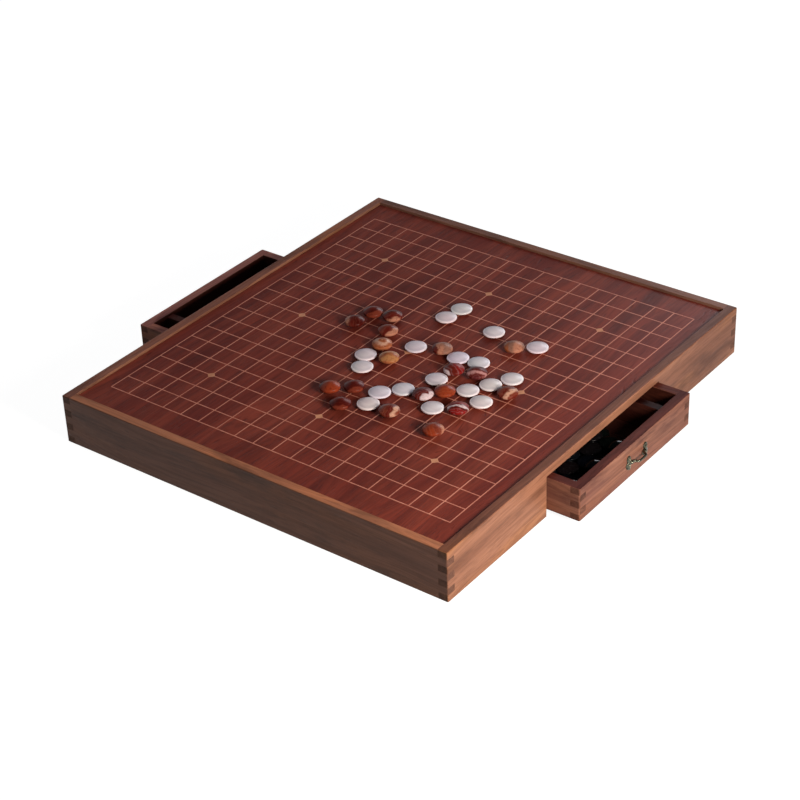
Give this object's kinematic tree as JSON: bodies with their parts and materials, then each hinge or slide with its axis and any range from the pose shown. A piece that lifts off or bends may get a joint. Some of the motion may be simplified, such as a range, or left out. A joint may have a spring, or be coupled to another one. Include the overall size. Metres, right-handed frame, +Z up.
{
  "type": "go board with stone drawers",
  "caption": "Wooden go board with a raised rim, an inlaid grid and a shallow drawer for stones sliding out of each side, loose stones on top.",
  "frame": {"origin": "middle of the flat underside of the board's box", "axes": "+Z up, +X the way the right-hand drawer opens, the two players sit at -Y and +Y"},
  "size_m": [0.5398, 0.495, 0.0591],
  "materials": {
    "frame_walnut": "oiled dark walnut, satin, figured grain, darker end grain",
    "panel_rosewood": "red-brown rosewood veneer, satin lacquer",
    "inlay_wood": "pale pinkish inlay lines, satin",
    "star_wood": "pale tan inlay, satin",
    "base_plywood": "stained plywood, matte",
    "screw_brass": "dull brass",
    "inner_softwood": "planed and unfinished",
    "drawer_walnut": "oiled walnut, satin, darker end grain",
    "drawer_floor": "dark red-brown stained plywood, satin",
    "handle_bronze": "antique bronze, worn on the high places",
    "nail_brass": "antique brass, polished by use",
    "shell_white": "opaque polished white shell",
    "banded_agate": "opaque polished banded red and tan agate",
    "dark_stone": "opaque polished near-black stone"
  },
  "bodies": {
    "root": {"front_rail": "frame_walnut", "back_rail": "frame_walnut", "left_rail": "frame_walnut", "right_rail": "frame_walnut", "playing_panel": "panel_rosewood", "grid_inlay": "inlay_wood", "star_points": "star_wood", "base_panel": "base_plywood", "base_screws": "screw_brass", "centre_beam": "inner_softwood", "front_cleat": "inner_softwood", "back_cleat": "inner_softwood", "left_front_cleat": "inner_softwood", "left_back_cleat": "inner_softwood", "right_front_cleat": "inner_softwood", "right_back_cleat": "inner_softwood", "left_front_guide": "inner_softwood", "left_back_guide": "inner_softwood", "right_front_guide": "inner_softwood", "right_back_guide": "inner_softwood", "white_stones": "shell_white", "agate_stones": "banded_agate"},
    "right_drawer": {"right_drawer_front": "drawer_walnut", "right_drawer_back": "drawer_walnut", "right_drawer_left_side": "drawer_walnut", "right_drawer_right_side": "drawer_walnut", "right_drawer_divider": "drawer_walnut", "right_drawer_bottom": "drawer_floor", "right_handle": "handle_bronze", "right_handle_nails": "nail_brass", "dark_stones": "dark_stone"},
    "left_drawer": {"left_drawer_front": "drawer_walnut", "left_drawer_back": "drawer_walnut", "left_drawer_left_side": "drawer_walnut", "left_drawer_right_side": "drawer_walnut", "left_drawer_divider": "drawer_walnut", "left_drawer_bottom": "drawer_floor", "left_handle": "handle_bronze", "left_handle_nails": "nail_brass"}
  },
  "joints": [
    {"name": "right_drawer_slide", "type": "slide", "parent": "root", "child": "right_drawer", "axis": [1, 0, 0], "range_m": [-0.0344, 0.1156]},
    {"name": "left_drawer_slide", "type": "slide", "parent": "root", "child": "left_drawer", "axis": [-1, 0, 0], "range_m": [-0.0412, 0.1088]}
  ]
}
